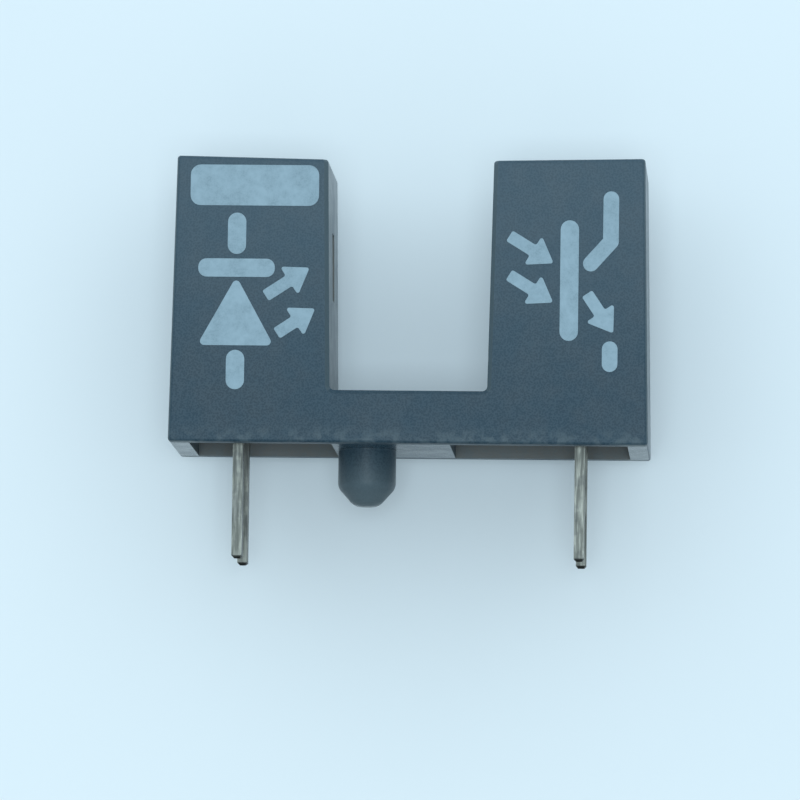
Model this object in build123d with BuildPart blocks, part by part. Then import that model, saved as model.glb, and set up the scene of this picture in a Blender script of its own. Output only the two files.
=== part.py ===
import os
from math import asin, cos, radians, sin, tan

from build123d import *

# A slotted photo interrupter for a circuit board. The origin is the middle of
# the seating face, X runs across the two arms, -Y is the marked front, and the
# arms rise along +Z. The emitter is in the -X arm, the detector in the +X arm.

# Housing outline, seen from the front
base_width = 14.0
body_depth = 5.0
body_height = 8.4
bridge_height = 1.55
arm_width = 4.7
outer_draft = 1.1
slot_draft = 1.05
edge_radius = 0.1
floor_radius = 0.15
slot_lead_in = 0.12

# Hollow underside
end_wall = 0.6
face_wall = 0.45
slot_wall = 0.75
roof = 1.2
recess_depth = 0.5
web_reach = 1.22
boss_margin = 0.1
rib_depth = 0.15
rib_width = 0.5
rib_spacing = 2.2
rib_lead_in = 0.4
package_fit = 0.03

# Light slits in the slot walls
axis_below_top = 3.0
slit_height = 2.0
emitter_slit = 0.9
detector_slit = 0.5

# Locating boss under the bridge
boss_x = -1.29
boss_diameter = 1.7
boss_length = 1.66
boss_tip_diameter = 0.7
boss_tip_length = 0.56
boss_round = 0.4

# Leads, blanked from one strip
lead_pitch = 2.54
lead_width = 0.5
lead_thickness = 0.3
lead_length = 3.3
lead_tip_chamfer = 0.06
pad_size = 1.1
lock_reach = 0.4
lock_height = 0.4
lock_rise = 0.9

# Moulded epoxy packages
package_bottom = 0.8
package_draft = 4.0
package_radius = 0.2
lens_radius = 0.95
lens_height = 0.7
lens_collar = 0.15

# Chips and bond wires
emitter_chip_size = 0.35
detector_chip_size = 0.6
chip_thickness = 0.25
wire_diameter = 0.04
wire_sides = 8
wire_loop = 0.28
wire_bend = 0.12
ball_diameter = 0.1
ball_height = 0.03

# Places worked out from the sizes above
EMITTER_SIDE = -1
DETECTOR_SIDE = 1

outer_lean = tan(radians(outer_draft))
slot_lean = tan(radians(slot_draft))
half_base = base_width / 2
half_floor = half_base - arm_width
top_outer = half_base - body_height * outer_lean
arm_top_width = top_outer - half_floor - (body_height - bridge_height) * slot_lean
inner_height = body_height - arm_top_width * outer_lean
top_inner = half_floor + (inner_height - bridge_height) * slot_lean

pocket_inner = half_floor + slot_wall
pocket_outer = half_base - end_wall
pocket_width = body_depth - 2 * face_wall
pocket_top = body_height - roof
web_left = boss_x - boss_diameter / 2 - boss_margin
axis_height = body_height - axis_below_top

package_width = pocket_width - 2 * package_fit
package_top = pocket_top - package_fit
lens_tip = pocket_inner + package_fit
package_front = lens_tip + lens_height
package_back = pocket_outer - rib_depth - package_fit

lead_plane = (package_front + package_back) / 2
lead_face = lead_plane - lead_thickness / 2
chip_face = lead_face - chip_thickness
pad_top = axis_height + pad_size / 2

os.makedirs("parts", exist_ok=True)


def save(part, name):
    """Label one finished piece and write its file."""
    part.label = name
    export_step(part, f"parts/{name}.step")


def facing_slot(side):
    """The lead plane of one arm: Z of the plane points at the slot, Y is up."""
    return Plane(origin=(side * lead_plane, 0, 0), x_dir=(0, -side, 0), z_dir=(-side, 0, 0))


def rises(edge):
    """True for an edge of the front or back face that runs up the housing."""
    direction = edge.tangent_at(0.5)
    return abs(direction.Z) > abs(direction.X)


# The housing is a U of two arms and a bridge, and every wall has its draft.
with BuildPart() as housing:
    with BuildSketch(Plane.XZ):
        with BuildLine():
            Polyline(
                (0, 0),
                (half_base, 0),
                (top_outer, body_height),
                (top_inner, inner_height),
                (half_floor, bridge_height),
                (0, bridge_height),
            )
            mirror(about=Plane.YZ)
        make_face()
    extrude(amount=body_depth / 2, both=True)

    floor_corners = housing.edges().filter_by(Axis.Y).group_by(Axis.Z)[1]
    fillet(floor_corners, floor_radius)
    upright = housing.faces().filter_by(Axis.Y).edges().filter_by(rises)
    chamfer(upright.filter_by(lambda edge: abs(edge.center().X) < pocket_inner), slot_lead_in)
    upright = housing.faces().filter_by(Axis.Y).edges().filter_by(rises)
    fillet(upright.filter_by(lambda edge: abs(edge.center().X) > pocket_outer), edge_radius)
    arm_tops = housing.faces().filter_by(lambda face: face.center().Z > pocket_top)
    fillet(arm_tops.edges(), edge_radius)
    fillet(housing.faces().sort_by(Axis.Z)[0].edges(), edge_radius)

    # Pockets for the packages, open at the seat
    for side in (EMITTER_SIDE, DETECTOR_SIDE):
        with BuildSketch(Plane.XY):
            with Locations((side * (pocket_inner + pocket_outer) / 2, 0)):
                Rectangle(pocket_outer - pocket_inner, pocket_width)
        extrude(amount=pocket_top, mode=Mode.SUBTRACT)

    # Shallow recesses under the bridge leave a web that carries the boss
    for near, far in ((web_left, -pocket_inner), (web_reach, pocket_inner)):
        with BuildSketch(Plane.XY):
            with Locations(((near + far) / 2, 0)):
                Rectangle(abs(far - near), pocket_width)
        extrude(amount=recess_depth, mode=Mode.SUBTRACT)

    # One upright light slit through each slot wall
    for side, slit_width in ((EMITTER_SIDE, emitter_slit), (DETECTOR_SIDE, detector_slit)):
        with BuildSketch(Plane.YZ):
            with Locations((0, axis_height)):
                Rectangle(slit_width, slit_height)
        extrude(amount=side * pocket_inner, mode=Mode.SUBTRACT)

    # Crush ribs on the end walls press each package against its slot wall
    for side in (EMITTER_SIDE, DETECTOR_SIDE):
        with BuildSketch(Plane.XZ):
            with BuildLine():
                Polyline(
                    (side * pocket_outer, package_bottom),
                    (side * (pocket_outer - rib_depth), package_bottom + rib_lead_in),
                    (side * (pocket_outer - rib_depth), pocket_top),
                    (side * pocket_outer, pocket_top),
                    close=True,
                )
            make_face()
        rib = extrude(amount=rib_width / 2, both=True, mode=Mode.PRIVATE)
        with Locations((0, -rib_spacing / 2, 0), (0, rib_spacing / 2, 0)):
            add(rib)

    # The boss is turned about its own axis, straight, then coned, with a rounded shoulder and tip
    boss_side = boss_x + boss_diameter / 2
    with BuildSketch(Plane.XZ):
        with BuildLine():
            FilletPolyline(
                (boss_side, 0),
                (boss_side, boss_tip_length - boss_length),
                (boss_x + boss_tip_diameter / 2, -boss_length),
                (boss_x, -boss_length),
                radius=boss_round,
            )
            Polyline((boss_x, -boss_length), (boss_x, 0), (boss_side, 0))
        make_face()
    revolve(axis=Axis((boss_x, 0, 0), (0, 0, 1)))
save(housing.part, "housing")


def lead(side, row, with_pad):
    """One flat lead: a leg, its locking shoulder and the post or pad on top."""
    leg_middle = row * lead_pitch / 2
    inner_edge = leg_middle - row * lead_width / 2
    outer_edge = leg_middle + row * lead_width / 2
    pad_edge = -row * pad_size / 2
    with BuildPart() as blank:
        with BuildSketch(facing_slot(side)):
            with Locations((leg_middle, (pad_top - lead_length) / 2)):
                Rectangle(lead_width, pad_top + lead_length)
            with Locations((inner_edge - row * lock_reach / 2, package_bottom + lock_rise)):
                Rectangle(lock_reach, lock_height)
            if with_pad:
                with Locations(((pad_edge + outer_edge) / 2, axis_height)):
                    Rectangle(abs(outer_edge - pad_edge), pad_size)
        extrude(amount=lead_thickness / 2, both=True)
        chamfer(blank.faces().sort_by(Axis.Z)[0].edges(), lead_tip_chamfer)
    return blank.part


def chip(side, size):
    """A square die on the slot face of the pad, its centre on the light axis."""
    with BuildPart() as die:
        with BuildSketch(facing_slot(side).offset(lead_thickness / 2)):
            with Locations((0, axis_height)):
                Rectangle(size, size)
        extrude(amount=chip_thickness)
    return die.part


def bond_wire(side):
    """A gold wire with a ball on the die, looped over to the post beside it."""
    loop_top = side * (chip_face - wire_loop)
    post = side * lead_pitch / 2
    with BuildPart() as wire:
        with BuildLine(Plane.XY.offset(axis_height)) as path:
            FilletPolyline(
                (side * chip_face, 0),
                (loop_top, 0),
                (loop_top, post),
                (side * lead_face, post),
                radius=wire_bend,
            )
        with BuildSketch(Plane(origin=path.line @ 0, z_dir=path.line % 0)):
            RegularPolygon(wire_diameter / 2, wire_sides)
        sweep(path=path.line)
        with BuildSketch(facing_slot(side).offset(lead_plane - chip_face)):
            with Locations((0, axis_height)):
                Circle(ball_diameter / 2)
        extrude(amount=ball_height)
    return wire.part


def package(side, inner_pieces):
    """A side-looking epoxy block with a domed lens, moulded round its pieces."""
    dome = lens_height - lens_collar
    dome_radius = (lens_radius**2 + dome**2) / (2 * dome)
    half_angle = asin(lens_radius / dome_radius) / 2
    collar = package_front - lens_collar
    dome_middle = (
        side * (lens_tip + dome_radius * (1 - cos(half_angle))),
        axis_height + dome_radius * sin(half_angle),
    )
    with BuildPart() as block:
        for outward, depth in ((1, lead_plane - package_front), (-1, package_back - lead_plane)):
            with BuildSketch(facing_slot(side)):
                with Locations((0, (package_bottom + package_top) / 2)):
                    RectangleRounded(package_width, package_top - package_bottom, package_radius)
            extrude(amount=outward * depth, taper=package_draft)
        with BuildSketch(Plane.XZ):
            with BuildLine():
                Polyline(
                    (side * lens_tip, axis_height),
                    (side * package_front, axis_height),
                    (side * package_front, axis_height + lens_radius),
                    (side * collar, axis_height + lens_radius),
                )
                ThreePointArc(
                    (side * collar, axis_height + lens_radius),
                    dome_middle,
                    (side * lens_tip, axis_height),
                )
            make_face()
        revolve(axis=Axis((0, 0, axis_height), (1, 0, 0)))
        for piece in inner_pieces:
            add(piece, mode=Mode.SUBTRACT)
    return block.part


arms = (
    (EMITTER_SIDE, "emitter", "anode_lead", "cathode_lead", emitter_chip_size),
    (DETECTOR_SIDE, "detector", "transistor_emitter_lead", "collector_lead", detector_chip_size),
)
for side, arm, post_name, pad_name, chip_size in arms:
    post_lead = lead(side, -1, with_pad=False)
    pad_lead = lead(side, 1, with_pad=True)
    die = chip(side, chip_size)
    wire = bond_wire(side)
    body = package(side, (post_lead, pad_lead, die, wire))
    save(post_lead, post_name)
    save(pad_lead, pad_name)
    save(die, f"{arm}_chip")
    save(wire, f"{arm}_bond_wire")
    save(body, f"{arm}_package")
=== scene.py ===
# %% [markdown]
# # A slotted photo interrupter, dressed for its picture
# A photo interrupter is a small U of dark plastic that looks across its own slot: a lamp in one
# arm shines at a sensor in the other, and whatever passes through the slot breaks the beam.
# The solid parts arrive finished and at their real size. This notebook gives each of them its
# surface, prints the marks on the two arms, and sets the light, the backdrop and the camera.
# Everything is in metres, in the frame of the solid model: X runs across the arms, -Y is the
# printed front and Z points up.

from math import atan2, cos, pi, radians, sin, tan

import bpy
from mathutils import Matrix, Vector


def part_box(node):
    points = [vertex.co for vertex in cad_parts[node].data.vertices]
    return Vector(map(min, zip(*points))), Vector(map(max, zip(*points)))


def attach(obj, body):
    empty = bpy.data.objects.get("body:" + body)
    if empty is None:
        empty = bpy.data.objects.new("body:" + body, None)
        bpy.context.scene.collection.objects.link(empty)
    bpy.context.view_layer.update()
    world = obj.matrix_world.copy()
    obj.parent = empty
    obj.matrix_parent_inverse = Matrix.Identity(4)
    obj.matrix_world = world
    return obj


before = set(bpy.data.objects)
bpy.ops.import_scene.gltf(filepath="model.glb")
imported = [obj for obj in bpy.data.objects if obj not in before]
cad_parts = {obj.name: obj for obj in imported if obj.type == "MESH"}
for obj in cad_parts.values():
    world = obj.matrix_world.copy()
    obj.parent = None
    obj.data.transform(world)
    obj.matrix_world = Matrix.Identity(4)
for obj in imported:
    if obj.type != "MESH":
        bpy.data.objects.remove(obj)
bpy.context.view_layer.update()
MM = 0.001

print("parts:", ", ".join(sorted(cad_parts)))

# %% [markdown]
# ## Places that everything else is measured from
# The marks, the wear and the studio all need a few heights and faces of the part. Reading them
# from the parts' own boxes keeps the picture right when the solid model changes, which a list
# of copied numbers would not do.

# %% Read the main places from the parts
housing_low, housing_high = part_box("housing")
package_low, package_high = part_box("emitter_package")
chip_low, chip_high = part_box("emitter_chip")

FRONT = housing_low.y
BACK = housing_high.y
TOP = housing_high.z
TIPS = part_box("anode_lead")[0].z
LIGHT_AXIS = (chip_low.z + chip_high.z) / 2

print(f"front {FRONT / MM:.2f}, top {TOP / MM:.2f}, tips {TIPS / MM:.2f} mm")
print(f"the light crosses the slot {LIGHT_AXIS / MM:.2f} mm above the seat")

# %% [markdown]
# ## Small helpers for node trees
# A material is a tree of nodes, and typing each node out by hand hides what it is for. These
# helpers add one node, feed its sockets with numbers or with other nodes' outputs, and hand
# back the output, so that a material reads like a short recipe.

# %% Helpers: nodes and calculations
# A Mix node has sockets of the same names for numbers, vectors and colours. Its colour
# sockets are therefore picked by their number.
MIX_FACTOR, MIX_A, MIX_B, MIX_RESULT = 0, 6, 7, 2


def feed(tree, socket, value):
    """Link an output to a socket, or write a plain value into it."""
    if isinstance(value, bpy.types.NodeSocket):
        tree.links.new(value, socket)
    else:
        socket.default_value = value


def add_node(tree, kind, inputs=None, **settings):
    """Add one node with its settings, and feed its inputs by name."""
    node = tree.nodes.new(kind)
    for name, value in settings.items():
        setattr(node, name, value)
    for name, value in (inputs or {}).items():
        feed(tree, node.inputs[name], value)
    return node


def calc(tree, operation, first, second=0.0, clamp=False):
    """One calculation on one or two numbers. A clamped result stays between 0 and 1."""
    node = add_node(tree, "ShaderNodeMath", operation=operation, use_clamp=clamp)
    feed(tree, node.inputs[0], first)
    feed(tree, node.inputs[1], second)
    return node.outputs[0]


def product(tree, *values):
    """Several numbers multiplied. For masks, that is the place where all of them meet."""
    result = values[0]
    for value in values[1:]:
        result = calc(tree, "MULTIPLY", result, value)
    return result


def strongest(tree, *masks):
    """The highest of several masks at each point."""
    result = masks[0]
    for mask in masks[1:]:
        result = calc(tree, "MAXIMUM", result, mask)
    return result


def ramp(tree, value, low, high, at_low=0.0, at_high=1.0):
    """A smooth step: at_low below low, at_high above high."""
    node = add_node(
        tree,
        "ShaderNodeMapRange",
        {"Value": value, "From Min": low, "From Max": high, "To Min": at_low, "To Max": at_high},
        interpolation_type="SMOOTHSTEP",
    )
    return node.outputs["Result"]


def blend(tree, factor, first, second):
    """Mix two colours by a mask: the first where it is 0, the second where it is 1."""
    node = add_node(tree, "ShaderNodeMix", data_type="RGBA")
    feed(tree, node.inputs[MIX_FACTOR], factor)
    feed(tree, node.inputs[MIX_A], first)
    feed(tree, node.inputs[MIX_B], second)
    return node.outputs[MIX_RESULT]


def noise(tree, vector, scale, detail=2.0, roughness=0.5, distortion=0.0):
    """Soft cloudy noise from 0 to 1."""
    node = add_node(
        tree,
        "ShaderNodeTexNoise",
        {
            "Vector": vector,
            "Scale": scale,
            "Detail": detail,
            "Roughness": roughness,
            "Distortion": distortion,
        },
    )
    return node.outputs["Fac"]


# %% [markdown]
# ### Colours as light
# A screen's numbers from 0 to 255 follow the eye, which sees dark steps better than bright ones.
# A shader works with amounts of light, so each number has to be turned into its share of light.
# Picking colours on a screen and turning them in code keeps them readable.

# %% Helper: colours
def linear(red, green, blue):
    """A screen colour, 0 to 255, as linear light with an alpha of 1."""
    channels = [channel / 255 for channel in (red, green, blue)]
    light = [c / 12.92 if c <= 0.04045 else ((c + 0.055) / 1.055) ** 2.4 for c in channels]
    return (*light, 1.0)


print("middle grey as light:", round(linear(128, 128, 128)[0], 3))

# %% [markdown]
# ## Effects that several materials share
# Plastic, epoxy, ink and tin all vary a little from place to place, and most are worn at their
# edges. Copying those nodes into every material would work, but a change would then have to be
# made many times. A node group is built once and placed in each material with its own values.
# The groups give out only masks and heights. The shader itself stays in each material.

# %% Helper: start a node group
FLOAT, VECTOR = "NodeSocketFloat", "NodeSocketVector"


def start_group(name, inputs, outputs):
    """A new shader node group with named sockets: its tree, its inputs and its outputs."""
    group = bpy.data.node_groups.new(name, "ShaderNodeTree")
    for socket_name, kind, value in inputs:
        socket = group.interface.new_socket(socket_name, in_out="INPUT", socket_type=kind)
        if value is not None:
            socket.default_value = value
    for socket_name in outputs:
        group.interface.new_socket(socket_name, in_out="OUTPUT", socket_type=FLOAT)
    entry = group.nodes.new("NodeGroupInput").outputs
    result = group.nodes.new("NodeGroupOutput").inputs
    return group, entry, result


def use_group(tree, group, **values):
    """Place a group in a material, feed its inputs by name and hand back its outputs."""
    return add_node(tree, "ShaderNodeGroup", values, node_tree=group).outputs


# %% [markdown]
# ### Mottling
# Moulded plastic is never one even colour: the melt cools in cloudy patches. Two layers of
# noise, one broad and one four times finer, give that cloudiness without a visible repeat.
# Their sum stays close to its middle, so it is spread out until it fills the range of a mask.

# %% Group: mottling
FINE_LAYER = 4.0
BROAD_SHARE, FINE_SHARE = 0.65, 0.35
FULL_SPREAD = 3.0
MIDDLE = 0.5


def build_mottling():
    group, entry, result = start_group(
        "mottling",
        [("Vector", VECTOR, None), ("Patch", FLOAT, 1.0), ("Contrast", FLOAT, 1.0)],
        ["Mask"],
    )
    broad_scale = calc(group, "DIVIDE", 1.0, entry["Patch"])
    fine_scale = calc(group, "MULTIPLY", broad_scale, FINE_LAYER)
    broad = noise(group, entry["Vector"], broad_scale, detail=3.0, distortion=0.4)
    fine = noise(group, entry["Vector"], fine_scale, detail=2.0)
    total = calc(group, "ADD", product(group, broad, BROAD_SHARE), product(group, fine, FINE_SHARE))
    centred = calc(group, "SUBTRACT", total, MIDDLE)
    spread = product(group, centred, product(group, entry["Contrast"], FULL_SPREAD))
    feed(group, result["Mask"], calc(group, "ADD", spread, MIDDLE, clamp=True))
    return group


mottling = build_mottling()
print("group:", mottling.name)

# %% [markdown]
# ### Spark-eroded grain
# The mould of such a housing is eroded by sparks, which leaves a dense field of tiny round
# craters, and the plastic copies them as a fine satin grain. Voronoi cells make the craters,
# and a little noise breaks up their regularity.

# %% Group: grain
CRATER_SHARE, UNEVEN_SHARE = 0.55, 0.45
UNEVEN_SCALE = 0.45


def build_grain():
    group, entry, result = start_group(
        "spark_grain",
        [("Vector", VECTOR, None), ("Grain", FLOAT, 0.06)],
        ["Height"],
    )
    scale = calc(group, "DIVIDE", 1.0, entry["Grain"])
    craters = add_node(
        group,
        "ShaderNodeTexVoronoi",
        {"Vector": entry["Vector"], "Scale": scale, "Randomness": 1.0, "Smoothness": 0.6},
        feature="SMOOTH_F1",
    )
    crater = ramp(group, craters.outputs["Distance"], 0.1, 0.75)
    uneven = noise(group, entry["Vector"], product(group, scale, UNEVEN_SCALE), detail=3.0)
    height = calc(
        group, "ADD", product(group, crater, CRATER_SHARE), product(group, uneven, UNEVEN_SHARE)
    )
    feed(group, result["Height"], height)
    return group


spark_grain = build_grain()
print("group:", spark_grain.name)

# %% [markdown]
# ### Worn edges
# Handling rubs corners first, so they are paler and smoother than the faces. A Bevel node
# rounds the normal near every edge. Where that rounded normal leaves the surface's own, an edge
# is close, and noise breaks the line so that the wear comes and goes.

# %% Group: edge wear
def build_edge_wear():
    group, entry, result = start_group(
        "edge_wear",
        [("Vector", VECTOR, None), ("Width", FLOAT, 0.00008), ("Break", FLOAT, 0.4)],
        ["Mask"],
    )
    softened = add_node(group, "ShaderNodeBevel", {"Radius": entry["Width"]}, samples=6)
    own_normal = add_node(group, "ShaderNodeNewGeometry").outputs["Normal"]
    agreement = add_node(group, "ShaderNodeVectorMath", operation="DOT_PRODUCT")
    feed(group, agreement.inputs[0], softened.outputs["Normal"])
    feed(group, agreement.inputs[1], own_normal)
    near_edge = ramp(group, agreement.outputs["Value"], 0.72, 0.995, 1.0, 0.0)
    patches = noise(group, entry["Vector"], calc(group, "DIVIDE", 1.0, entry["Break"]), detail=4.0)
    rubbed = ramp(group, patches, 0.32, 0.68, 0.25, 1.0)
    feed(group, result["Mask"], product(group, near_edge, rubbed))
    return group


edge_wear = build_edge_wear()
print("group:", edge_wear.name)

# %% [markdown]
# ### Specks
# Dust, pits and pinholes are all the same picture: small dots, far apart, each of another size.
# Voronoi cells give one random point and one random colour each. Keeping only the cells with
# much red leaves a sparse scatter, and the green of each cell sets the size of its dot.

# %% Group: specks
SMALLEST_DOT = 0.4


def build_specks():
    group, entry, result = start_group(
        "specks",
        [("Vector", VECTOR, None), ("Spacing", FLOAT, 0.4), ("Size", FLOAT, 0.1), ("Share", FLOAT, 0.2)],
        ["Mask"],
    )
    scale = calc(group, "DIVIDE", 1.0, entry["Spacing"])
    cells = add_node(group, "ShaderNodeTexVoronoi", {"Vector": entry["Vector"], "Scale": scale})
    chance = add_node(group, "ShaderNodeSeparateColor", {"Color": cells.outputs["Color"]})
    limit = calc(group, "SUBTRACT", 1.0, entry["Share"])
    chosen = calc(group, "GREATER_THAN", chance.outputs["Red"], limit)
    shrink = ramp(group, chance.outputs["Green"], 0.0, 1.0, SMALLEST_DOT, 1.0)
    own_size = product(group, entry["Size"], shrink)
    inside = calc(group, "DIVIDE", cells.outputs["Distance"], own_size)
    dot = ramp(group, inside, 0.5, 1.0, 1.0, 0.0)
    feed(group, result["Mask"], product(group, dot, chosen))
    return group


specks = build_specks()
print("group:", specks.name)

# %% [markdown]
# ### Streaks
# Tinned strip and drawn wire carry fine marks, from the bath or from the die. Squeezing the
# coordinates along Z, the way the leads run, before the noise turns its clouds into streaks.

# %% Group: streaks
def build_streaks():
    group, entry, result = start_group(
        "streaks",
        [("Vector", VECTOR, None), ("Width", FLOAT, 0.05), ("Stretch", FLOAT, 0.08)],
        ["Mask"],
    )
    along = add_node(group, "ShaderNodeCombineXYZ", {"X": 1.0, "Y": 1.0, "Z": entry["Stretch"]})
    squeezed = add_node(group, "ShaderNodeVectorMath", operation="MULTIPLY")
    feed(group, squeezed.inputs[0], entry["Vector"])
    feed(group, squeezed.inputs[1], along.outputs["Vector"])
    scale = calc(group, "DIVIDE", 1.0, entry["Width"])
    lines = noise(group, squeezed.outputs["Vector"], scale, detail=4.0, roughness=0.6)
    feed(group, result["Mask"], ramp(group, lines, 0.3, 0.7))
    return group


streaks = build_streaks()
print("group:", streaks.name)

# %% [markdown]
# ## Materials
# Each finish of the real part gets one material. They all start alike, with a principled
# shader and the frame's own coordinates in millimetres, so a grain of 0.06 is 0.06 mm wide.

# %% Helper: start a material
def start_material(name, **constants):
    """A material, its node tree, its principled shader and coordinates in millimetres.

    The constants are fixed values of the shader. An underscore in a name stands for a space.
    """
    material = bpy.data.materials.new(name)
    material.use_nodes = True
    tree = material.node_tree
    shader = tree.nodes["Principled BSDF"]
    for socket_name, value in constants.items():
        shader.inputs[socket_name.replace("_", " ")].default_value = value
    place = add_node(tree, "ShaderNodeTexCoord").outputs["Object"]
    in_mm = add_node(tree, "ShaderNodeVectorMath", operation="SCALE")
    feed(tree, in_mm.inputs[0], place)
    in_mm.inputs["Scale"].default_value = 1 / MM
    return material, tree, shader, in_mm.outputs["Vector"]


def bump(tree, shader, height, depth, strength):
    """Raise the surface by height times depth, in metres, as the light sees it."""
    node = add_node(tree, "ShaderNodeBump", {"Height": height, "Distance": depth, "Strength": strength})
    feed(tree, shader.inputs["Normal"], node.outputs["Normal"])


def paint(material, *node_names):
    """Give solid parts their finish."""
    for node_name in node_names:
        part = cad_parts[node_name]
        part.data.materials.clear()
        part.data.materials.append(material)
    print(f"{material.name}: {', '.join(node_names)}")


# %% [markdown]
# ### Places on the housing
# The housing doesn't look the same everywhere: its pocket walls are painted paler, as painted
# light that stands in for light reaching into the pockets, the ends of its seat are painted pale
# as a painted reflection, and some walls are smoother. Masks for that could be painted by hand on
# an unfolded copy of the surface. Here they are worked out from where a point lies and which way
# the surface faces, which needs no unfolding and follows the part when its shape changes. The
# lamp's package fills its pocket, so its box tells where the pocket's walls are, bar some play.

# %% Helper: places on the housing
PACKAGE_PLAY = 0.05
RIB_PLAY = 0.1
INNER_Y = package_high.y / MM + PACKAGE_PLAY
END_WALL = -package_low.x / MM + RIB_PLAY
END_FADE = 0.2


def find_places(tree, place):
    """Masks and measures, in millimetres, from a point's place and the way it faces."""
    true_normal = add_node(tree, "ShaderNodeNewGeometry").outputs["True Normal"]
    facing = add_node(tree, "ShaderNodeSeparateXYZ", {"Vector": true_normal}).outputs
    spot = add_node(tree, "ShaderNodeSeparateXYZ", {"Vector": place}).outputs
    from_middle = calc(tree, "ABSOLUTE", spot["X"])
    return {
        "height": spot["Z"],
        "above_seat": calc(tree, "GREATER_THAN", spot["Z"], 0.0),
        "inside": calc(tree, "LESS_THAN", calc(tree, "ABSOLUTE", spot["Y"]), INNER_Y),
        "at_ends": ramp(tree, from_middle, END_WALL - END_FADE, END_WALL),
        "downward": ramp(tree, facing["Z"], -0.95, -0.6, 1.0, 0.0),
        "sideways": calc(tree, "ABSOLUTE", facing["X"]),
        "frontways": calc(tree, "ABSOLUTE", facing["Y"]),
    }


print(f"the pockets reach {INNER_Y:.2f} mm to the front and back, {END_WALL:.2f} mm to the ends")

# %% [markdown]
# ### Scuffs, painted reflection, rubbed edges and polish
# The part slid about on its seat, so a patchy pale band runs along there, and the end of the
# boss is pale. Both ends of the seat are painted pale too, a painted reflection of the bright
# backdrop at a grazing angle. Hands and tools rub the edges pale, and the slanted lead-in of the
# slot is painted pale, a painted reflection of the bright surroundings. The underside and the
# side walls are smoother than the front, because those parts of the mould are polished, not
# spark-eroded. Each of the three is one mask.

# %% Masks: scuffs, painted reflection, rubbed edges and polish
SCUFF_LOW, SCUFF_HIGH = 0.11, 0.55
BOSS_END = housing_low.z / MM
BOSS_FADE_END = 0.3
# The third of these sets how pale the seat's ends are painted, a painted reflection of the bright
# backdrop.
BAND_SCUFF, BOSS_SCUFF, END_PAINTED_REFLECTION = 0.32, 0.65, 0.75
# The second of these sets how pale the slot's lead-in is painted, a painted reflection of the bright
# surroundings.
EDGE_RUB, LEAD_IN_PAINTED_REFLECTION = 0.55, 0.5
UNDERSIDE_POLISH, SIDE_POLISH, EDGE_POLISH = 0.25, 0.16, 0.12


def scuff_and_reflection_mask(tree, place, at):
    """Where the seat and the boss are scuffed, and where the seat's two ends get a painted reflection.
    """
    low_band = ramp(tree, at["height"], SCUFF_LOW, SCUFF_HIGH, 1.0, 0.0)
    patchy = ramp(tree, noise(tree, place, 3.5, detail=5.0), 0.42, 0.62)
    band = product(tree, low_band, at["above_seat"], patchy, BAND_SCUFF)
    boss = ramp(tree, at["height"], BOSS_END, BOSS_FADE_END, BOSS_SCUFF, 0.0)
    # Painted reflection: the seat's ends are painted pale where the bright backdrop would reflect at a
    # grazing angle.
    painted_reflection_ends = product(tree, at["downward"], at["at_ends"], END_PAINTED_REFLECTION)
    return strongest(tree, band, boss, painted_reflection_ends)


def rub_and_reflection_mask(tree, edges, at):
    """Where the edges are rubbed pale, and where the slanted lead-in of the slot gets a painted
    reflection.
    """
    slanted = product(
        tree, ramp(tree, at["sideways"], 0.4, 0.6), ramp(tree, at["frontways"], 0.4, 0.6)
    )
    # Painted reflection: the slanted lead-in is painted pale where the bright surroundings would
    # reflect.
    lead_in_reflection = product(tree, slanted, at["above_seat"], LEAD_IN_PAINTED_REFLECTION)
    return strongest(tree, product(tree, edges, EDGE_RUB), lead_in_reflection)


def polish_mask(tree, edges, at):
    """How much smoother than the front the underside, the side walls and the edges are."""
    underside = product(tree, at["downward"], at["inside"], UNDERSIDE_POLISH)
    sides = ramp(tree, at["sideways"], 0.6, 0.95, 0.0, SIDE_POLISH)
    return strongest(tree, underside, sides, product(tree, edges, EDGE_POLISH))


print(f"scuffs run from the seat to {SCUFF_HIGH} mm above it, and to the boss's end at {BOSS_END:.2f}")

# %% [markdown]
# ### Housing plastic
# The housing is a slate-dark thermoplastic with a satin skin. Its look comes from several quiet
# layers: cloudy colour, painted light that pales the faces towards the top, pale tops on the fine
# grain, painted light on the pocket walls, scuffs, rubbed edges, a painted reflection on the
# seat's ends and the slot's lead-in, and a few specks of dust. Each layer is weak. Together they
# keep the faces from looking like one flat fill.

# %% Material: housing plastic
SLATE_DARK = linear(14, 42, 55)
SLATE_PALE = linear(24, 52, 66)
# Pale slate for the painted light towards the top and for the pale tops of the grain.
SLATE_TOP_LIGHT_AND_GRAIN_TOPS = linear(94, 112, 122)
# Pale slate for scuffs and rubbed edges, and for the painted reflection on the seat's ends and the
# lead-in.
SLATE_WORN_AND_REFLECTION = linear(96, 107, 110)
# Painted light: the pocket walls get this paler grey, standing in for light reaching into the pockets.
POCKET_PAINTED_LIGHT = linear(109, 107, 102)
DUST = linear(160, 165, 164)
# The first of these is how much painted light pales the faces towards the top.
TOP_PAINTED_LIGHT, GRAIN_TOPS, DUST_COVER = 0.24, 0.14, 0.5
SATIN_LOW, SATIN_HIGH, DUST_ROUGHNESS = 0.44, 0.54, 0.3
GRAIN_DEPTH = 0.004 * MM


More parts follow.
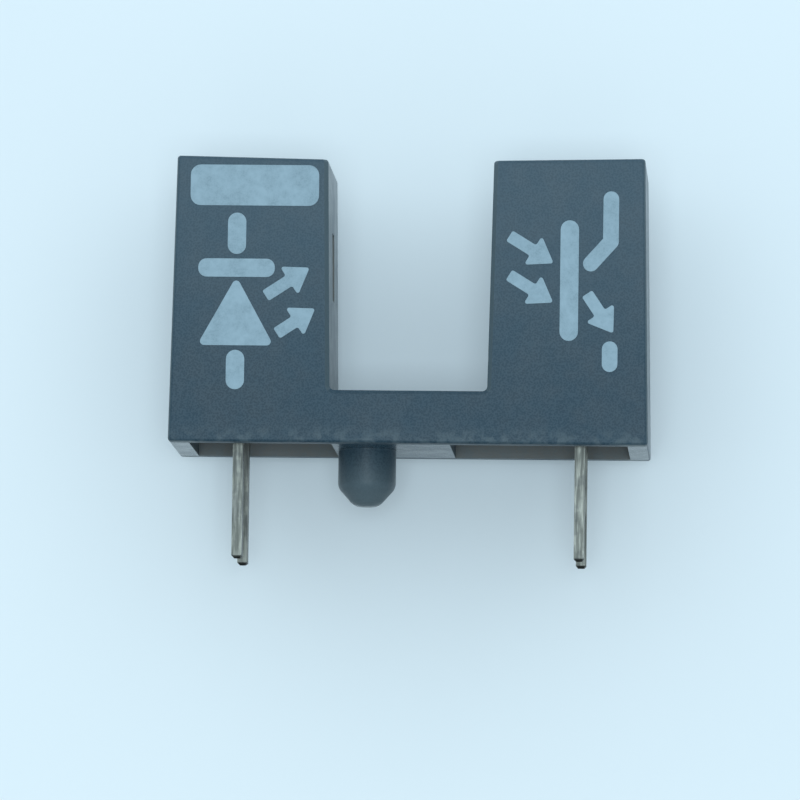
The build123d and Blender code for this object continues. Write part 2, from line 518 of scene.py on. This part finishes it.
def make_housing_plastic():
    material, tree, shader, place = start_material("housing_plastic", Specular_IOR_Level=0.36)
    clouds = use_group(tree, mottling, Vector=place, Patch=1.6, Contrast=1.1)["Mask"]
    grain = use_group(tree, spark_grain, Vector=place, Grain=0.055)["Height"]
    edges = use_group(tree, edge_wear, Vector=place, Width=0.07 * MM, Break=0.5)["Mask"]
    dust = use_group(tree, specks, Vector=place, Spacing=0.55, Size=0.09, Share=0.16)["Mask"]
    at = find_places(tree, place)

    # Painted light: the faces are painted paler towards the top, as if more light fell there.
    painted_top_light = ramp(tree, at["height"], 0.0, TOP / MM, 0.0, TOP_PAINTED_LIGHT)
    # Painted light: the pocket walls are painted paler, standing in for light that reaches into the
    # pockets.
    pocket_painted_light = product(tree, ramp(tree, at["frontways"], 0.8, 0.95), at["inside"], at["above_seat"])
    tops = ramp(tree, grain, 0.35, 0.75, 0.0, GRAIN_TOPS)
    colour = blend(tree, painted_top_light, blend(tree, clouds, SLATE_DARK, SLATE_PALE), SLATE_TOP_LIGHT_AND_GRAIN_TOPS)
    colour = blend(tree, pocket_painted_light, colour, POCKET_PAINTED_LIGHT)
    colour = blend(tree, tops, colour, SLATE_TOP_LIGHT_AND_GRAIN_TOPS)
    colour = blend(tree, scuff_and_reflection_mask(tree, place, at), colour, SLATE_WORN_AND_REFLECTION)
    colour = blend(tree, rub_and_reflection_mask(tree, edges, at), colour, SLATE_WORN_AND_REFLECTION)
    colour = blend(tree, product(tree, dust, DUST_COVER), colour, DUST)
    feed(tree, shader.inputs["Base Color"], colour)

    satin = ramp(tree, clouds, 0.0, 1.0, SATIN_LOW, SATIN_HIGH)
    satin = calc(tree, "SUBTRACT", satin, polish_mask(tree, edges, at))
    satin = calc(tree, "ADD", satin, product(tree, dust, DUST_ROUGHNESS))
    feed(tree, shader.inputs["Roughness"], satin)
    bump(tree, shader, grain, GRAIN_DEPTH, 0.55)
    return material


paint(make_housing_plastic(), "housing")

# %% [markdown]
# ### Tinned leads
# The leads are iron strip dipped in tin. Fresh tin is bright, but it dulls within weeks, in
# streaks that run down the lead and in soft patches, and the shear leaves a darker grey at the
# cut end. A metal's colour is its reflection, so the patches change both colour and roughness.

# %% Material: tinned lead
TIN_BRIGHT = (0.192, 0.187, 0.163, 1.0)
TIN_DULL = (0.118, 0.118, 0.104, 1.0)
TIN_STAIN = (0.09, 0.09, 0.085, 1.0)
CUT_END = 0.12
CUT_COVER, STAIN_COVER, EDGE_SHINE = 0.7, 0.6, 0.5
TIN_MATT, TIN_SMOOTH, PIT_ROUGHNESS = 0.52, 0.34, 0.2
TIN_RELIEF = 0.002 * MM


def make_tinned_lead():
    material, tree, shader, place = start_material("tinned_lead", Metallic=1.0)
    runs = use_group(tree, streaks, Vector=place, Width=0.09, Stretch=0.09)["Mask"]
    patches = use_group(tree, mottling, Vector=place, Patch=0.7, Contrast=1.6)["Mask"]
    edges = use_group(tree, edge_wear, Vector=place, Width=0.03 * MM, Break=0.3)["Mask"]
    pits = use_group(tree, specks, Vector=place, Spacing=0.16, Size=0.05, Share=0.3)["Mask"]

    height = add_node(tree, "ShaderNodeSeparateXYZ", {"Vector": place}).outputs["Z"]
    tip = TIPS / MM
    cut = ramp(tree, height, tip, tip + CUT_END, CUT_COVER, 0.0)

    colour = blend(tree, runs, TIN_DULL, TIN_BRIGHT)
    colour = blend(tree, ramp(tree, patches, 0.45, 1.0, 0.0, STAIN_COVER), colour, TIN_STAIN)
    colour = blend(tree, product(tree, edges, EDGE_SHINE), colour, TIN_BRIGHT)
    colour = blend(tree, strongest(tree, cut, pits), colour, TIN_STAIN)
    feed(tree, shader.inputs["Base Color"], colour)

    matt = ramp(tree, runs, 0.0, 1.0, TIN_MATT, TIN_SMOOTH)
    rough = calc(tree, "ADD", matt, product(tree, pits, PIT_ROUGHNESS))
    feed(tree, shader.inputs["Roughness"], rough)
    bump(tree, shader, calc(tree, "SUBTRACT", runs, pits), TIN_RELIEF, 0.5)
    return material


paint(make_tinned_lead(), "anode_lead", "cathode_lead", "collector_lead", "transistor_emitter_lead")

# %% [markdown]
# ### Epoxy of the two packages
# Each chip is cast in epoxy. The lamp's block is clear with a violet tint, and the sensor's is
# nearly black, because it passes only infrared. Both come glossy out of polished moulds, with
# faint flow lines. The clear one is a real transmitting shader, so its pads and wires show.

# %% Material: epoxies
LAMP_TINT = (0.62, 0.46, 0.72, 1.0)
LAMP_TINT_DEEP = (0.50, 0.34, 0.62, 1.0)
SENSOR_TINT = (0.012, 0.008, 0.014, 1.0)
SENSOR_TINT_PALE = (0.030, 0.020, 0.030, 1.0)
LAMP_GLOSS, SENSOR_GLOSS, HAZE, WEAR = 0.06, 0.12, 0.09, 0.25
EPOXY_IOR = 1.54
FLOW_RELIEF = 0.002 * MM


def make_epoxy(name, deep, pale, gloss, **constants):
    """Cast epoxy between two tints. A low gloss value is a smooth surface."""
    material, tree, shader, place = start_material(name, IOR=EPOXY_IOR, **constants)
    flow = use_group(tree, streaks, Vector=place, Width=0.5, Stretch=0.35)["Mask"]
    haze = use_group(tree, mottling, Vector=place, Patch=0.9, Contrast=1.0)["Mask"]
    rub = use_group(tree, edge_wear, Vector=place, Width=0.05 * MM, Break=0.6)["Mask"]
    dust = use_group(tree, specks, Vector=place, Spacing=0.5, Size=0.06, Share=0.12)["Mask"]

    feed(tree, shader.inputs["Base Color"], blend(tree, flow, deep, pale))
    hazy = ramp(tree, haze, 0.0, 1.0, gloss, gloss + HAZE)
    worn = calc(tree, "ADD", hazy, product(tree, strongest(tree, rub, dust), WEAR))
    feed(tree, shader.inputs["Roughness"], worn)
    bump(tree, shader, flow, FLOW_RELIEF, 0.25)
    return material


lamp_epoxy = make_epoxy(
    "emitter_epoxy", LAMP_TINT_DEEP, LAMP_TINT, LAMP_GLOSS, Transmission_Weight=0.9
)
sensor_epoxy = make_epoxy("detector_epoxy", SENSOR_TINT, SENSOR_TINT_PALE, SENSOR_GLOSS)
paint(lamp_epoxy, "emitter_package")
paint(sensor_epoxy, "detector_package")

# %% [markdown]
# ### Chips and gold wires
# A chip is a sawn square of dark crystal. Its upper face is polished and carries a round metal
# pad in the middle, where the wire is bonded, while its sawn sides are rough. The pad is drawn by
# distance from the light axis, which needs no extra piece. The wires are bare drawn gold.

# %% Material: chip and wire
DIE_DARK = linear(44, 46, 56)
DIE_PALE = linear(74, 76, 88)
PAD_METAL = linear(206, 178, 112)
PAD_RADIUS, PAD_RIM = 0.085, 0.01
GOLD = (0.86, 0.60, 0.22, 1.0)
GOLD_DEEP = (0.62, 0.40, 0.14, 1.0)


def make_chip():
    material, tree, shader, place = start_material("chip")
    cloud = use_group(tree, mottling, Vector=place, Patch=0.12, Contrast=1.0)["Mask"]
    saw = use_group(tree, streaks, Vector=place, Width=0.012, Stretch=0.05)["Mask"]

    spot = add_node(tree, "ShaderNodeSeparateXYZ", {"Vector": place})
    up = calc(tree, "SUBTRACT", spot.outputs["Z"], LIGHT_AXIS / MM)
    aside = spot.outputs["Y"]
    squares = calc(tree, "ADD", product(tree, up, up), product(tree, aside, aside))
    distance = calc(tree, "SQRT", squares)
    pad = ramp(tree, distance, PAD_RADIUS, PAD_RADIUS + PAD_RIM, 1.0, 0.0)

    body = blend(tree, cloud, DIE_DARK, DIE_PALE)
    feed(tree, shader.inputs["Base Color"], blend(tree, pad, body, PAD_METAL))
    feed(tree, shader.inputs["Metallic"], pad)
    feed(tree, shader.inputs["Roughness"], ramp(tree, saw, 0.0, 1.0, 0.22, 0.42))
    bump(tree, shader, saw, 0.001 * MM, 0.3)
    return material


def make_gold_wire():
    material, tree, shader, place = start_material("gold_wire", Metallic=1.0)
    drawn = use_group(tree, streaks, Vector=place, Width=0.008, Stretch=0.5)["Mask"]
    feed(tree, shader.inputs["Base Color"], blend(tree, drawn, GOLD_DEEP, GOLD))
    feed(tree, shader.inputs["Roughness"], ramp(tree, drawn, 0.0, 1.0, 0.30, 0.18))
    bump(tree, shader, drawn, 0.0005 * MM, 0.3)
    return material


paint(make_chip(), "emitter_chip", "detector_chip")
paint(make_gold_wire(), "emitter_bond_wire", "detector_bond_wire")

# %% [markdown]
# ## Printed marks
# Both arms are pad-printed in pale ink, so that whoever places the part can tell lamp from
# sensor. The marks here are the plain circuit signs for the two, and a broad bar that shows the
# lamp's side. A painted mask in the housing's material would do from afar, but real ink stands
# a hair above the plastic and has a crisp rim, so each mark is a thin mesh of its own.
# An outline is drawn in the plane of the front face, in millimetres: X to the right, Z up. It
# runs anticlockwise, so that its face looks forward.

# %% Helper: outlines with round corners
ARC_STEPS = 6


def turn(start, middle, end):
    """The angle that a path turns by at its middle point, left turns positive."""
    before, after = middle - start, end - middle
    return atan2(before.cross(after), before.dot(after))


def rounded(corners, radius):
    """A closed outline through these corners, each replaced by an arc."""
    points = [Vector(corner) for corner in corners]
    outline = []
    for index, corner in enumerate(points):
        start, end = points[index - 1], points[(index + 1) % len(points)]
        angle = turn(start, corner, end)
        setback = radius * tan(abs(angle) / 2)
        first = corner + (start - corner).normalized() * setback
        inward = (corner - start).normalized().orthogonal() * (1 if angle > 0 else -1)
        centre = first + inward * radius
        spoke = first - centre
        for step in range(ARC_STEPS + 1):
            outline.append(centre + Matrix.Rotation(angle * step / ARC_STEPS, 2) @ spoke)
    return outline


def bar(centre, width, height, radius):
    """A rounded rectangle."""
    x, z = centre
    corners = [(x - width / 2, z - height / 2), (x + width / 2, z - height / 2)]
    corners += [(x + width / 2, z + height / 2), (x - width / 2, z + height / 2)]
    return rounded(corners, radius)


def joint(start, middle, end, half):
    """The right-hand edge of a stroke where its path turns: an arc outside, one point inside."""
    angle = turn(start, middle, end)
    along = (middle - start).normalized()
    right = Vector((along.y, -along.x)) * half
    if angle > 0:
        steps = [angle * step / ARC_STEPS for step in range(ARC_STEPS + 1)]
        return [middle + Matrix.Rotation(step, 2) @ right for step in steps]
    inner = Matrix.Rotation(angle / 2, 2) @ right
    return [middle + inner / cos(angle / 2)]


def stroke(path, width):
    """The outline of a pen stroke with round ends along a path of points."""
    points = [Vector(point) for point in path]
    half = width / 2
    outline = []
    for side in (points, points[::-1]):
        for index in range(len(side) - 1):
            along = (side[index + 1] - side[index]).normalized()
            right = Vector((along.y, -along.x)) * half
            if index == 0:
                outline.append(side[0] + right)
            if index < len(side) - 2:
                outline += joint(side[index], side[index + 1], side[index + 2], half)
            else:
                spin = [pi * step / (2 * ARC_STEPS) for step in range(2 * ARC_STEPS)]
                outline += [side[-1] + Matrix.Rotation(angle, 2) @ right for angle in spin]
    return outline


print("points in a bar with round corners:", len(bar((0, 0), 2, 1, 0.2)))

# %% [markdown]
# ### From outline to ink
# A flat face for each outline is enough to start with. A Solidify modifier then gives it the
# ink's thickness and a Bevel modifier softens its rim. Both stay live, so the ink's thickness
# is one number. The back of the ink is sunk a little, so that no two faces share a plane.

# %% Helper: print a mark
INK_THICKNESS = 0.018 * MM
INK_SUNK = 0.003 * MM
INK_RIM = 0.006 * MM


def print_mark(name, outlines, material):
    """One thin mesh on the front face, from outlines in millimetres."""
    vertices, faces = [], []
    for outline in outlines:
        first = len(vertices)
        vertices += [(point.x * MM, FRONT + INK_SUNK, point.y * MM) for point in outline]
        faces.append(list(range(first, len(vertices))))
    mesh = bpy.data.meshes.new(name)
    mesh.from_pydata(vertices, [], faces)
    mesh.materials.append(material)
    mark = bpy.data.objects.new(name, mesh)
    bpy.context.scene.collection.objects.link(mark)
    layer = mark.modifiers.new("ink layer", "SOLIDIFY")
    layer.thickness = INK_THICKNESS
    layer.offset = 1.0
    rim = mark.modifiers.new("soft rim", "BEVEL")
    rim.width = INK_RIM
    rim.segments = 2
    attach(mark, "root")
    print(f"{name}: {len(outlines)} shapes, {len(vertices)} points")


# %% [markdown]
# ### The ink itself
# Pad-printing ink is matt and not quite opaque. It is thinner in places, where the dark plastic
# dulls it in soft clouds, and a few pinholes let the plastic show through.

# %% Material: ink
INK_FULL = linear(147, 167, 177)
INK_THIN = linear(123, 144, 154)
INK_TOPS, HOLE_DEPTH = 0.35, 0.6
INK_RELIEF = 0.003 * MM


def make_ink():
    material, tree, shader, place = start_material("marking_ink")
    cover = use_group(tree, mottling, Vector=place, Patch=0.6, Contrast=1.3)["Mask"]
    grain = use_group(tree, spark_grain, Vector=place, Grain=0.05)["Height"]
    holes = use_group(tree, specks, Vector=place, Spacing=0.16, Size=0.09, Share=0.25)["Mask"]
    colour = blend(tree, cover, INK_THIN, INK_FULL)
    colour = blend(tree, ramp(tree, grain, 0.3, 0.7, 0.0, INK_TOPS), colour, INK_FULL)
    colour = blend(tree, product(tree, holes, HOLE_DEPTH), colour, SLATE_PALE)
    feed(tree, shader.inputs["Base Color"], colour)
    feed(tree, shader.inputs["Roughness"], ramp(tree, cover, 0.0, 1.0, 0.58, 0.72))
    bump(tree, shader, grain, INK_RELIEF, 0.5)
    return material


marking_ink = make_ink()
print("material:", marking_ink.name)

# %% [markdown]
# ### Bar and lamp sign on the left arm
# The sign of a light-emitting diode is a triangle on a bar with two small arrows leaving it.
# Its strokes are as broad as pad printing needs, about half a millimetre, and stop just short
# of each other, as on a stencil, which keeps every shape a simple one.

# %% Marks of the left arm
PEN = 0.54
FINE_PEN = 0.36
CORNER = 0.12
HEAD_LENGTH, HEAD_WIDTH, HEAD_CORNER = 0.72, 1.0, 0.06


def arrow(tail, tip):
    """One outline with a fine shaft and a broad head."""
    tail, tip = Vector(tail), Vector(tip)
    along = (tip - tail).normalized()
    right = Vector((along.y, -along.x))
    neck = tip - along * HEAD_LENGTH
    shaft, head = right * FINE_PEN / 2, right * HEAD_WIDTH / 2
    corners = [tail + shaft, neck + shaft, neck + head, tip, neck - head, neck - shaft, tail - shaft]
    return rounded(corners, HEAD_CORNER)


BAR_CENTRE = (-4.56, 7.53)
BAR_WIDTH, BAR_HEIGHT, BAR_CORNER = 3.76, 1.2, 0.3
LAMP_X = -5.06
LAMP_REACH = 1.12
lamp_bar = [bar(BAR_CENTRE, BAR_WIDTH, BAR_HEIGHT, BAR_CORNER)]
lamp_sign = [
    stroke([(LAMP_X, 1.8), (LAMP_X, 2.42)], PEN),
    rounded([(LAMP_X - LAMP_REACH, 2.82), (LAMP_X + LAMP_REACH, 2.82), (LAMP_X, 4.85)], CORNER),
    bar((LAMP_X, 5.1), 2 * LAMP_REACH, PEN, PEN * 0.45),
    stroke([(LAMP_X, 5.77), (LAMP_X, 6.45)], PEN),
    arrow((-4.2, 4.28), (-2.92, 5.12)),
    arrow((-3.86, 3.18), (-2.74, 3.92)),
]
print_mark("lamp_side_bar", lamp_bar, marking_ink)
print_mark("lamp_sign", lamp_sign, marking_ink)

# %% [markdown]
# ### Sensor sign on the right arm
# The sign of a phototransistor is a base bar with two slanting legs, the lower one with an arrow
# on it, and two arrows of light that come in from the slot. Its legs take a finer pen.

# %% Mark of the right arm
BASE_X = 4.66
LEG_X = 5.86
LEG_PEN = PEN * 0.85
sensor_sign = [
    stroke([(BASE_X, 3.3), (BASE_X, 6.3)], PEN),
    stroke([(BASE_X + 0.62, 5.3), (LEG_X, 5.95), (LEG_X, 7.2)], LEG_PEN),
    arrow((BASE_X + 0.52, 4.42), (LEG_X + 0.1, 3.26)),
    stroke([(LEG_X, 2.8), (LEG_X, 2.36)], LEG_PEN),
    arrow((2.9, 6.1), (4.2, 5.3)),
    arrow((2.9, 4.95), (4.2, 4.15)),
]
print_mark("sensor_sign", sensor_sign, marking_ink)

# %% [markdown]
# ## Studio
# The part stands on its leads on a pale floor, in front of a pale wall. The photograph was
# taken from a little below the seat, so a solid floor would hide the part. Both sheets are
# therefore see-through from behind, which the Backfacing output decides, and the camera looks
# up through the floor's underside. Both take the part's soft shadow and show in its gloss, but
# they are left out of every other ray, so they keep no light from its back or its underside.

# %% Backdrop
PAPER = linear(236, 238, 238)
PAPER_SHADE = linear(230, 232, 233)
SHEET_SIZE = 1.2
WALL_GAP = 1.9 * MM


def make_paper():
    material, tree, shader, place = start_material("backdrop_paper", Roughness=0.9)
    tone = noise(tree, place, 0.05, detail=2.0)
    feed(tree, shader.inputs["Base Color"], blend(tree, tone, PAPER_SHADE, PAPER))
    clear = add_node(tree, "ShaderNodeBsdfTransparent")
    behind = add_node(tree, "ShaderNodeNewGeometry").outputs["Backfacing"]
    chooser = add_node(tree, "ShaderNodeMixShader")
    feed(tree, chooser.inputs[0], behind)
    feed(tree, chooser.inputs[1], shader.outputs["BSDF"])
    feed(tree, chooser.inputs[2], clear.outputs["BSDF"])
    feed(tree, tree.nodes["Material Output"].inputs["Surface"], chooser.outputs["Shader"])
    return material


def make_sheet(name, corner, across, up, material):
    """A flat sheet from one corner along two sides. It faces across x up."""
    corner, across, up = Vector(corner), Vector(across), Vector(up)
    mesh = bpy.data.meshes.new(name)
    mesh.from_pydata([corner, corner + across, corner + across + up, corner + up], [], [(0, 1, 2, 3)])
    mesh.materials.append(material)
    sheet = bpy.data.objects.new(name, mesh)
    bpy.context.scene.collection.objects.link(sheet)
    return sheet


paper = make_paper()
HALF = SHEET_SIZE / 2
floor = make_sheet("floor", (-HALF, -HALF, TIPS), (SHEET_SIZE, 0, 0), (0, SHEET_SIZE, 0), paper)
wall = make_sheet(
    "wall", (-HALF, BACK + WALL_GAP, -HALF), (SHEET_SIZE, 0, 0), (0, 0, SHEET_SIZE), paper
)
for sheet in (floor, wall):
    for ray in ("diffuse", "transmission", "shadow"):
        setattr(sheet, f"visible_{ray}", False)
print("backdrop:", floor.name, wall.name)

# %% [markdown]
# ### Soft light
# The photograph has plain daylight, and the shadow on the paper shows where it came from: very
# soft, deep in the slot and under the bridge, and missing above the arms. So the key is a panel
# far wider than the part, high in front, like a window. A small fill stands beside the lens,
# where its own shadow hides behind the part. A third lamp is for the far side, and a pale world
# fills in the rest. The lamps themselves are hidden from the camera.

# %% Lamps and world
DAYLIGHT = (0.72, 0.895, 1.0)
SKY_STRENGTH = 0.56


def add_lamp(name, place, size, power):
    """A square area lamp, in metres and watts, that points at the part."""
    data = bpy.data.lights.new(name, "AREA")
    data.size = size
    data.energy = power
    data.color = DAYLIGHT
    lamp = bpy.data.objects.new(name, data)
    lamp.location = place
    lamp.rotation_euler = Vector(place).to_track_quat("Z", "Y").to_euler()
    lamp.visible_camera = False
    bpy.context.scene.collection.objects.link(lamp)
    print(f"{name}: {power} W, {size} m")


add_lamp("key", (-0.01, -0.43, 0.31), 1.2, 3.5)
add_lamp("fill", (0.015, -0.44, -0.04), 0.12, 0.55)
add_lamp("back", (0.05, 0.42, 0.22), 0.8, 3.0)

world = bpy.data.worlds.new("studio")
world.use_nodes = True
sky = world.node_tree.nodes["Background"]
sky.inputs["Color"].default_value = (*DAYLIGHT, 1.0)
sky.inputs["Strength"].default_value = SKY_STRENGTH
bpy.context.scene.world = world
bpy.context.scene.view_settings.view_transform = "Standard"

# %% [markdown]
# ### Camera
# The lines that run into the depth of the photograph meet far below its right half, which says
# that the lens was long and the camera a little below and to the right of the part. Azimuth,
# elevation, roll and distance were then fitted so that the corners of the solid model fall on
# the corners in the photograph, to about a pixel in 800.

# %% Camera
PHOTO_WIDTH = 800
FOCAL_PIXELS = 8420
SENSOR = 36.0
AZIMUTH = radians(2.8)
ELEVATION = radians(-5.74)
ROLL = radians(0.79)
DISTANCE = 0.2477
AIM = Vector((-0.352, 0.0, 1.512)) * MM
NEAREST = 0.01

toward_camera = Vector(
    (sin(AZIMUTH) * cos(ELEVATION), -cos(AZIMUTH) * cos(ELEVATION), sin(ELEVATION))
)
camera_data = bpy.data.cameras.new("camera")
camera_data.sensor_width = SENSOR
camera_data.lens = FOCAL_PIXELS / PHOTO_WIDTH * SENSOR
camera_data.clip_start = NEAREST
camera = bpy.data.objects.new("camera", camera_data)
bpy.context.scene.collection.objects.link(camera)
aimed = toward_camera.to_track_quat("Z", "Y").to_matrix()
camera.matrix_world = Matrix.Translation(AIM + toward_camera * DISTANCE) @ (
    aimed @ Matrix.Rotation(ROLL, 3, "Z")
).to_4x4()
bpy.context.scene.camera = camera
print(f"lens {camera_data.lens:.0f} mm at {DISTANCE / MM:.0f} mm")
